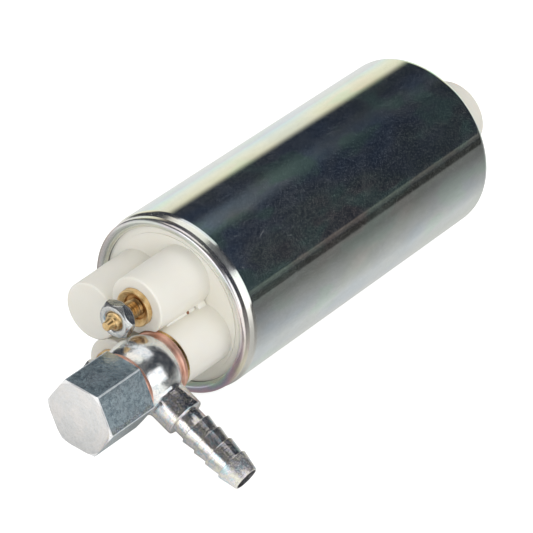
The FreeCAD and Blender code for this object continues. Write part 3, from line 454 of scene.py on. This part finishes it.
FINISHES = {
    "zinc_can": can_plating(),
    "white_moulding": moulding("moulding", light=0.86),
    "zinc_fitting": fitting_plating("fitting_plating", rough=0.10, metal=0.97, pale=1.0, depth=0.028),
    "enamelled_copper": wound_wire(),
    "laminated_iron": stacked_sheets(),
}
for name, dark, light, rough, metallic in (
        ("brass", (0.50, 0.28, 0.09), (0.83, 0.56, 0.26), 0.18, 1.0),
        ("copper", (0.80, 0.40, 0.29), (0.95, 0.58, 0.46), 0.24, 0.75),
        ("spring_steel", (0.35, 0.35, 0.37), (0.60, 0.60, 0.62), 0.2, 1.0),
        ("bright_steel", (0.50, 0.50, 0.52), (0.72, 0.72, 0.73), 0.14, 1.0)):
    FINISHES[name] = turned_metal(name, dark, light, rough, metallic)
for name, dark, light, rough, scale, depth, metallic in (
        ("carbon", (0.035, 0.035, 0.038), (0.09, 0.09, 0.095), 0.45, 4.0, 0.02, 0.0),
        ("bronze", (0.38, 0.22, 0.09), (0.62, 0.40, 0.18), 0.3, 3.0, 0.01, 1.0),
        ("ferrite", (0.05, 0.05, 0.055), (0.12, 0.12, 0.125), 0.6, 2.5, 0.03, 0.0),
        ("sintered_steel", (0.24, 0.24, 0.25), (0.44, 0.44, 0.45), 0.35, 3.5, 0.02, 1.0),
        ("pump_alloy", (0.52, 0.52, 0.53), (0.70, 0.70, 0.70), 0.32, 2.0, 0.02, 1.0),
        ("dark_moulding", (0.03, 0.03, 0.032), (0.07, 0.07, 0.075), 0.4, 2.0, 0.02, 0.0),
        ("seal_rubber", (0.015, 0.015, 0.016), (0.04, 0.04, 0.042), 0.55, 2.5, 0.02, 0.0)):
    FINISHES[name] = grained(name, dark, light, rough, scale, depth, metallic)

for node in frame["nodes"].values():
    node.data.materials[0] = FINISHES[node.data.materials[0].name]


# Shapes


def outline(corners, closed, steps=6):
    """Wire through corners of (along, radius) and, where a third number is given, rounded by it."""
    bm = bmesh.new()
    points = [Vector((corner[0], corner[1], 0)) for corner in corners]
    verts = [bm.verts.new(point) for point in points]
    for here, following in zip(verts, verts[1:] + verts[:1] if closed else verts[1:]):
        bm.edges.new((here, following))
    for i, corner in enumerate(corners):
        if len(corner) > 2:
            back = points[i - 1] - points[i]
            ahead = points[(i + 1) % len(points)] - points[i]
            reach = corner[2] / math.tan(back.angle(ahead) / 2)
            bmesh.ops.bevel(bm, geom=[verts[i]], offset=reach, affect="VERTICES", segments=steps,
                            profile=0.5, material=-1)
    return bm


def spun(bm, sides):
    """A wire turned once about X, with its seam and poles merged."""
    bmesh.ops.spin(bm, geom=bm.verts[:] + bm.edges[:], cent=(0, 0, 0), axis=(1, 0, 0),
                   angle=2 * math.pi, steps=sides, use_merge=True)
    bmesh.ops.remove_doubles(bm, verts=bm.verts, dist=1e-3)
    return bm


def turned(corners, sides=96, closed=True, centre=(0, 0, 0)):
    """An outline turned about X, then moved to a centre."""
    bm = spun(outline(corners, closed), sides)
    bmesh.ops.translate(bm, vec=centre, verts=bm.verts)
    return bm


def coiled(section, pitch, turns, steps):
    """A section of (along, radius) points swept round X, a pitch along for every turn."""
    bm = bmesh.new()
    face = bm.faces.new([bm.verts.new((along, radius, 0)) for along, radius in section])
    bmesh.ops.spin(bm, geom=[face], cent=(0, 0, 0), axis=(1, 0, 0), dvec=(pitch / steps, 0, 0),
                   angle=2 * math.pi * turns, steps=steps * turns)
    bmesh.ops.remove_doubles(bm, verts=bm.verts, dist=1e-4)
    return bm


def cut_off(bm, place, normal, dist=0.0):
    """Cuts away what lies beyond a plane and closes the cut."""
    cut = bmesh.ops.bisect_plane(bm, geom=bm.verts[:] + bm.edges[:] + bm.faces[:], dist=dist,
                                 plane_co=place, plane_no=normal, clear_outer=True)
    rim = [part for part in cut["geom_cut"] if isinstance(part, bmesh.types.BMEdge)]
    if rim:
        bmesh.ops.edgenet_fill(bm, edges=rim)


def join(bm, other):
    """Adds another shape to a shape."""
    carrier = bpy.data.meshes.new("carrier")
    other.to_mesh(carrier)
    bm.from_mesh(carrier)
    bpy.data.meshes.remove(carrier)
    other.free()
    return bm


def mesh_in_metres(name, bm):
    """A mesh from a shape in millimetres, which is used up."""
    bmesh.ops.scale(bm, vec=(MM, MM, MM), verts=bm.verts)
    mesh = bpy.data.meshes.new(name)
    bm.to_mesh(mesh)
    bm.free()
    return mesh


def in_scene(name, data):
    """An object of its own in the scene."""
    made = bpy.data.objects.new(name, data)
    bpy.context.scene.collection.objects.link(made)
    return made


def piece(name, bm, slot, *stands_for, crease=35.0, material=None, flat=False):
    """Turns a shape in millimetres into a piece on the housing."""
    bmesh.ops.recalc_face_normals(bm, faces=bm.faces)
    mesh = mesh_in_metres(name, bm)
    mesh.shade_smooth()
    mesh.set_sharp_from_angle(angle=math.radians(crease))
    mesh.materials.append(material or FINISHES[slot])
    made = in_scene(name, mesh)
    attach(made, "housing")
    if stands_for:
        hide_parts(*stands_for)
    if flat:
        made.modifiers.new("flat_faces", "WEIGHTED_NORMAL").keep_sharp = True
    return made


# Pieces


def can_shell():
    """Drawn cup with its rounded closed end, necked shoulder, bead and rolled lip."""
    bead = 25.5
    return turned([
        (-CAN_HALF, 10.9, 0.25), (-CAN_HALF, CAN_RADIUS, 2.7), (SHOULDER, CAN_RADIUS, 2.4),
        (52.6, 25.1, 0.15), (COVER_FACE, bead, 0.3), (CAN_HALF, bead, 1.0), (CAN_HALF, LIP_BORE, 1.75),
        (COVER_FACE, LIP_BORE, 0.15), (COVER_FACE, 24.2), (51.3, 24.2), (49.7, 24.8),
        (-53.8, 24.8, 1.5), (-53.8, 10.9),
    ], sides=256)


def ball_with_barb():
    """Ball and hose barb, turned together about the barb and faced off for the washers."""
    ball, blend, collar = 10.4, 2.0, 5.65
    root, ridge, bore = 4.15, 4.8, 3.15
    collar_end, end = 16.0, 38.4
    blend_x = math.sqrt((ball + blend) ** 2 - (collar + blend) ** 2)
    lean = math.atan2(collar + blend, blend_x)
    corners = [(blend_x, collar), (collar_end, collar, 0.3), (collar_end, root, 0.1)]
    for start in (19.8, 23.9, 28.0, LAST_RIDGE):
        corners += [(start, root, 0.1), (start, ridge, 0.2)]
    corners += [(end, 3.65, 0.12), (end, bore, 0.12), (5.0, bore), (4.0, 0.0)]
    bm = outline(corners, closed=False, steps=3)
    pole = bm.verts.new((-ball, 0, 0))
    bmesh.ops.spin(bm, geom=[pole], cent=(0, 0, 0), axis=(0, 0, 1), angle=lean - math.pi, steps=40)
    foot = bm.verts.new((blend_x, collar, 0))
    bmesh.ops.spin(bm, geom=[foot], cent=(blend_x, collar + blend, 0), axis=(0, 0, 1),
                   angle=lean - math.pi / 2, steps=8)
    bmesh.ops.remove_doubles(bm, verts=bm.verts, dist=2e-3)
    spun(bm, 96)
    for side in (-1, 1):
        cut_off(bm, (0, side * BALL_FACE, 0), (0, side, 0))
    along = Vector(BARB_LINE).normalized()
    ahead = Vector((1, 0, 0))
    turn = Matrix((along, ahead, along.cross(ahead))).transposed().to_4x4()
    bmesh.ops.transform(bm, matrix=Matrix.Translation(on_circle(OUTLET_ANGLE, BALL_CENTRE)) @ turn,
                        verts=bm.verts)
    return bm


def washer(start, edge):
    """Soft copper ring, a little bulged by the clamping."""
    end, bore, bulge = start + WASHER_THICKNESS, 6.05, 0.45
    return turned([(start, bore), (start, edge, bulge), (end, edge, bulge), (end, bore)],
                  centre=on_circle(OUTLET_ANGLE))


def nipple_body():
    """Brass nipple: shank, flange under the inner washer and plain stem."""
    shank, flange, stem, bore = 5.5, 8.5, 6.0, 3.8
    start, flange_start, end, bore_end = 56.2, 70.0, 98.0, 88.0
    return turned([
        (start, bore), (start, shank, 0.3), (flange_start, shank), (flange_start, flange, 0.25),
        (INNER_WASHER, flange, 0.25), (INNER_WASHER, stem), (end - 0.8, stem), (end, 5.2), (end, 0.0),
        (bore_end, 0.0), (bore_end, bore),
    ], centre=on_circle(OUTLET_ANGLE))


def threaded_stud(terminal):
    """Brass stud with a cut thread that runs out at both ends, and a tapered dog point."""
    foot, end = terminal.lobe_end, terminal.stud_end
    crest, core, shoulder = 2.5, 2.1, 3.2
    well = foot - 6.0
    bm = turned([
        (well - 1.5, 0.0), (well - 1.5, shoulder, 0.3), (well, shoulder), (well, crest),
        (foot + 0.3, crest), (foot + 0.6, core), (end - 0.1, core), (end + 0.35, 1.9, 0.1),
        (end + 0.6, 1.5, 0.15), (end + 2.5, 1.2, 0.2), (end + 2.5, 0.0),
    ], sides=48, closed=False)

    # The ridge of the thread sinks into the core over its first and last turn
    pitch, sunk, height = 0.8, 1.95, 0.55
    turns = int((end - foot) / pitch) - 1
    ridge = coiled(((0.06, 2.0), (0.36, crest), (0.46, crest), (0.76, 2.0)), pitch, turns, steps=32)
    length = pitch * (turns + 1)
    for vert in ridge.verts:
        room = min(vert.co.x, length - vert.co.x) / pitch
        radius = math.hypot(vert.co.y, vert.co.z)
        limit = sunk + height * min(1.0, max(0.0, room - 0.1))
        if radius > limit:
            vert.co.y *= limit / radius
            vert.co.z *= limit / radius
    bmesh.ops.translate(ridge, vec=(end + 0.1 - length, 0, 0), verts=ridge.verts)
    join(bm, ridge)
    bmesh.ops.translate(bm, vec=on_circle(terminal.angle), verts=bm.verts)
    return bm


def terminal_ring(terminal):
    """Brass ring bevelled inwards to a well round the stud."""
    seat = terminal.lobe_end
    foot, top = seat - 0.6, seat + 1.6
    bore, well, rim = 2.55, 3.4, 5.25
    return turned([
        (foot, bore), (foot, rim), (top, rim, 0.25), (top, 4.85, 0.1), (top - 0.9, well, 0.15),
        (seat + 0.2, well), (seat + 0.2, bore),
    ], centre=on_circle(terminal.angle))


def hexagon(start, end, flat, turned_off, depth, angle, centre):
    """Hexagonal bar along X with its corners turned off at both ends; also its two end faces."""
    corner = flat / math.cos(math.radians(30.0))
    bm = bmesh.new()
    ring = []
    for degrees in range(0, 360, 60):
        turn = math.radians(angle + degrees)
        ring.append(bm.verts.new((start, corner * math.cos(turn), corner * math.sin(turn))))
    pushed = bmesh.ops.extrude_face_region(bm, geom=[bm.faces.new(ring)])["geom"]
    bmesh.ops.translate(bm, vec=(end - start, 0, 0),
                        verts=[part for part in pushed if isinstance(part, bmesh.types.BMVert)])
    for face_x, side in ((end, 1.0), (start, -1.0)):
        for degrees in range(0, 360, 5):
            turn = math.radians(degrees)
            radial = Vector((0.0, math.cos(turn), math.sin(turn)))
            slope = Vector((side * (corner - turned_off), 0, 0)) + radial * depth
            cut_off(bm, Vector((face_x, 0, 0)) + radial * turned_off, slope.normalized(), dist=1e-5)
    bmesh.ops.translate(bm, vec=centre, verts=bm.verts)
    bmesh.ops.recalc_face_normals(bm, faces=bm.faces)
    by_place = sorted(bm.faces, key=lambda face: face.calc_center_median().x)
    return bm, by_place[0], by_place[-1]


def rounded(bm, width):
    """Rounds a shape's sharp edges."""
    sharp_angle = math.radians(20.0)
    sharp = [edge for edge in bm.edges if edge.is_manifold and edge.calc_face_angle() > sharp_angle]
    bmesh.ops.bevel(bm, geom=sharp, offset=width, affect="EDGES", segments=2, profile=0.5,
                    material=-1, clamp_overlap=True)
    return bm


def cap_nut_body():
    """Cap nut, hollow from behind."""
    bm, back = hexagon(CAP_START, CAP_END, flat=9.5, turned_off=9.75, depth=0.4, angle=53.0,
                       centre=on_circle(OUTLET_ANGLE))[:2]
    bmesh.ops.inset_individual(bm, faces=[back], thickness=3.4, use_even_offset=True)
    pocket = bmesh.ops.extrude_discrete_faces(bm, faces=[back])["faces"][0]
    bmesh.ops.translate(bm, vec=(12.5, 0, 0), verts=pocket.verts[:])
    return rounded(bm, 0.14)


def terminal_nut(terminal):
    """Terminal nut: corners turned off deep on both sides, hole countersunk on both sides."""
    end = terminal.stud_end - 0.4
    bm, back, front = hexagon(end - 3.7, end, flat=4.75, turned_off=4.35, depth=1.4, angle=4.0,
                              centre=on_circle(terminal.angle))
    for face in (back, front):
        bmesh.ops.inset_individual(bm, faces=[face], thickness=1.1, use_even_offset=True)
        bmesh.ops.inset_individual(bm, faces=[face], thickness=0.65, depth=-0.5, use_even_offset=True)
    loops = back.edges[:] + front.edges[:]
    bmesh.ops.delete(bm, geom=[back, front], context="FACES_ONLY")
    bmesh.ops.bridge_loops(bm, edges=loops)
    return rounded(bm, 0.1)


def coil_spring(low, high, wire, turns):
    """Compression spring of round wire between two corners of a box."""
    middle_radius = (high.z - low.z - wire) / 2
    section = []
    for degrees in range(0, 360, 45):
        turn = math.radians(degrees)
        section.append((low.x + wire / 2 + math.cos(turn) * wire / 2,
                        middle_radius + math.sin(turn) * wire / 2))
    bm = coiled(section, (high.x - low.x - wire) / turns, turns, steps=24)
    centre = (low + high) / 2
    bmesh.ops.translate(bm, vec=(0, centre.y, centre.z), verts=bm.verts)
    return bm


def gate_marks():
    """What the mould left in the valley between two lobes: a snapped-off gate and a thin ridge."""
    marks = bmesh.new()
    for size, along, radius, tilt in (((2.8, 2.6, 1.9), 54.9, 11.5, 4.0),
                                      ((10.5, 1.8, 0.9), 62.2, 10.7, 4.8)):
        block = bmesh.new()
        bmesh.ops.create_cube(block, size=1.0)
        bmesh.ops.scale(block, vec=size, verts=block.verts)
        bmesh.ops.bevel(block, geom=block.edges[:], offset=0.22, affect="EDGES", segments=2,
                        profile=0.5, material=-1)
        upright = Matrix.Rotation(math.radians(VALLEY_ANGLE - 90.0), 4, "X")
        tilted = Matrix.Rotation(math.radians(tilt), 4, "Y")
        place = Matrix.Translation(on_circle(VALLEY_ANGLE, along, radius))
        bmesh.ops.transform(block, matrix=place @ upright @ tilted, verts=block.verts)
        join(marks, block)
    return marks


piece("can_shell", can_shell(), "zinc_can", "can", crease=60.0, flat=True)
piece("ball_with_barb", ball_with_barb(), "zinc_fitting", "banjo_fitting")
piece("washer_inner", washer(INNER_WASHER, 9.1), "copper", "banjo_washers")
piece("washer_outer", washer(OUTER_WASHER, 9.35), "copper", "banjo_washers")
piece("nipple_body", nipple_body(), "brass", "outlet_nipple")
# Painted light: the gate marks get a lighter copy of the cover's plastic, so they stand out bright
# against it
piece("gate_marks", gate_marks(), "white_moulding", material=moulding("gate_plastic_painted_light", light=0.97))
cap_plating = fitting_plating("cap_plating", rough=0.14, metal=0.89, pale=0.92, depth=0.04,
                              contrast=0.85, tint=(0.76, 0.92, 1.0))
piece("cap_nut_body", cap_nut_body(), "zinc_fitting", "cap_nut", material=cap_plating, flat=True)
nut_plating = fitting_plating("nut_plating", rough=0.10, metal=0.95, pale=0.80, depth=0.03)
nuts = join(*(terminal_nut(terminal) for terminal in TERMINALS))
piece("terminal_nut_pair", nuts, "zinc_fitting", "terminal_nuts", material=nut_plating, flat=True)
for terminal in TERMINALS:
    brass = turned_metal("brass_terminal_" + terminal.side, (0.66, 0.42, 0.17), (0.95, 0.70, 0.38),
                         rough=0.20, ring=on_circle(terminal.angle), pitch=0.22, depth=0.007,
                         well=terminal.lobe_end + 1.2)
    piece("stud_" + terminal.side, threaded_stud(terminal), "brass",
          "terminal_stud_" + terminal.side, material=brass)
    piece("ring_" + terminal.side, terminal_ring(terminal), "brass", "terminal_rings", material=brass)

# A coil fills each spring's box and gets a mesh of its own; the listed fixed end and the joint's travel
# are not used to press it
travel = {joint["name"]: max(abs(end) for end in joint["range_m"]) / MM
          for joint in frame["joints"] if "range_m" in joint}
for node, joint, fixed_ahead, wire, turns in (
        ("brush_spring_positive", "positive_brush_slide", True, 0.6, 6),
        ("brush_spring_negative", "negative_brush_slide", True, 0.6, 6),
        ("check_valve_spring", "check_valve_slide", True, 0.5, 6),
        ("relief_valve_spring", "relief_valve_slide", False, 0.4, 5)):
    low, high = (Vector(corner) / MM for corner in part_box(node))
    spring = piece("coil_of_" + node, coil_spring(low, high, wire, turns), "spring_steel", node)
    1.0 - travel[joint] / (high.x - low.x)
    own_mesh(spring)


# Floor, backdrop, lamps and camera


def floor():
    """White sweep: full white to the eye and in metal nearby, fading where the studio is dark."""
    bm = bmesh.new()
    bmesh.ops.create_grid(bm, x_segments=1, y_segments=1, size=4000.0)
    bmesh.ops.translate(bm, vec=(0, 0, FLOOR_LEVEL), verts=bm.verts)
    mesh = mesh_in_metres("floor", bm)
    f = finish("sweep")
    mirrored = f.ray("Glossy")
    to_eye = f.ray("Camera").most(f.ray("Transmission"))

    # How bright metal sees the floor, a painted pool of light: beside the can, in the open in front,
    # and with a painted shadow under the fitting
    x, y = f.axes(f.spot())[:2]
    right = (19.0 / y.most(1.0)).least(0.66).most(0.155) * y.rise(290.0, 250.0).most(0.15)
    beside = right + (0.84 - right) * y.rise(4.0, -8.0)
    left = y.rise(-45.0, -8.0) * 0.35 + 0.65
    open_floor = y.rise(18.0, 55.0).most(x.rise(100.0, 145.0) * left) * 0.62 + 0.45
    seen = beside + (open_floor - beside) * x.rise(40.0, 85.0)
    # Painted shadow: the floor darkens round the outlet end and the fitting, as their shadow seen in
    # metal
    seen = seen * (1.0 - x.rise(38.0, 50.0) * x.rise(90.0, 75.0) * y.rise(36.0, 14.0) * 0.5)

    warm_white, paper_white = (1.0, 1.0, 0.965), (0.82, 0.82, 0.81)
    shown = f.node("ShaderNodeVectorMath", {"operation": "SCALE"},
                   {0: warm_white, "Scale": 1.0 - mirrored * (1.0 - seen)})
    glow = f.node("ShaderNodeEmission", {}, {"Color": shown})
    paper = f.node("ShaderNodeBsdfDiffuse", {}, {"Color": paper_white})
    lit = f.node("ShaderNodeMixShader", {}, {0: mirrored, 1: paper, 2: glow})
    veil = f.node("ShaderNodeEmission", {}, {"Strength": to_eye * 0.7})
    shader = f.node("ShaderNodeAddShader", {}, {0: lit, 1: veil})
    f.node("ShaderNodeOutputMaterial", {}, {"Surface": shader})
    mesh.materials.append(f.owner)
    in_scene("floor", mesh)


def backdrop():
    """Studio round the part: white to the eye, and in metal a pale side and a dark one."""
    world = bpy.data.worlds.new("studio")
    bpy.context.scene.world = world
    f = Finish(world)
    x, y, z = f.axes(f.node("ShaderNodeTexCoord", {}, {}, "Generated"))

    # Dark side: near black, grey towards the front, with a soft streak and two faint lines low down
    night, dim_grey, front_grey = (0.015, 0.019, 0.029), (0.10, 0.102, 0.105), (0.70, 0.70, 0.71)
    streak_white, amber, peach = (0.96, 1.0, 0.92), (1.0, 0.86, 0.72), (1.0, 0.9, 0.8)
    front = f.mix(z.rise(0.50, 0.15), dim_grey, front_grey)
    dark = f.mix(x.rise(-0.05, 0.45), night, front)
    streak = y.rise(-0.38, -0.14) * y.rise(0.14, -0.08) * z.rise(0.5, 0.7)
    dark = f.mix(streak * (x.rise(-0.70, -0.645) * 0.10 + 0.015), dark, streak_white)
    horizon = z.rise(0.0, 0.015) * z.rise(0.085, 0.07) * y.rise(0.4, 0.6)
    dark = f.mix(horizon * 0.06, dark, amber)
    line = z.rise(0.050, 0.058) * z.rise(0.078, 0.068) * y.rise(0.4, 0.6)
    dark = f.mix(line * 0.08, dark, peach)

    # Pale side, round one direction away from the camera, and a pale patch overhead
    level = (x * x + y * y) ** 0.5
    away = (x * -0.777 - y * 0.63) / level.most(0.01)
    side = away.rise(0.80, 0.86) * z.rise(0.48, 0.34)
    pale = f.ramp(z, (0.0, (0.82, 0.92, 0.86)), (0.18, (0.98, 0.95, 0.76)), (0.4, (0.86, 0.80, 0.58)))
    room = f.mix(side, dark, pale)
    overhead = x.rise(0.02, 0.06) * x.rise(0.42, 0.34) * y.rise(-0.68, -0.60) * y.rise(0.23, 0.15)
    cream = (1.0, 0.98, 0.90)
    room = f.mix(overhead * z.rise(0.72, 0.78), room, cream)

    even_light = (0.64, 0.64, 0.645)
    light = f.mix(f.ray("Glossy"), even_light, room)
    colour = f.mix(f.ray("Camera").most(f.ray("Transmission")), light, WHITE)
    shader = f.node("ShaderNodeBackground", {}, {"Color": colour, "Strength": 1.0})
    f.node("ShaderNodeOutputWorld", {}, {"Surface": shader})


def lamp(name, place, target, width, height, radiance, mirrored=True):
    """Softbox at a place, turned to a target, so bright that metal shows it at its radiance."""
    data = bpy.data.lights.new(name, "AREA")
    data.shape = "RECTANGLE"
    data.size = width
    data.size_y = height
    data.energy = radiance * math.pi * width * height
    made = in_scene(name, data)
    made.location = place
    made.rotation_euler = (Vector(target) - Vector(place)).to_track_quat("-Z", "Y").to_euler()
    made.visible_glossy = mirrored


def camera():
    """The photograph's view: a long lens from in front, above and to the right."""
    data = bpy.data.cameras.new("camera")
    data.sensor_width = 36.0
    data.lens = 226.98
    data.clip_start = 0.01
    data.clip_end = 20.0
    place = Vector((0.6194, 0.4898, 0.4704))
    right = Vector((-0.6174, 0.7863, -0.0233))
    back = Vector((0.6626, 0.5359, 0.5233)).normalized()
    up = back.cross(right).normalized()
    turn = Matrix((up.cross(back), up, back)).transposed().to_4x4()
    made = in_scene("camera", data)
    made.matrix_world = Matrix.Translation(place) @ turn
    bpy.context.scene.camera = made


floor()
backdrop()
for name, place, target, width, height, radiance, mirrored in (
        ("side_box", (0.12, 0.74, 0.26), (0.12, 0.0, 0.20), 0.78, 0.56, 1.2, True),
        ("top_box", (-0.15, -0.07, 0.90), (-0.15, -0.03, 0.0), 0.54, 0.80, 0.85, True),
        ("front_box", (0.97, -0.14, 0.25), (0.08, 0.0, 0.20), 0.6, 0.5, 1.15, True),
        ("front_fill", (0.86, 0.47, 0.24), (0.05, 0.0, 0.0), 0.7, 0.7, 1.5, False)):
    lamp(name, place, target, width, height, radiance, mirrored)
camera()
bpy.context.scene.view_settings.view_transform = "Standard"
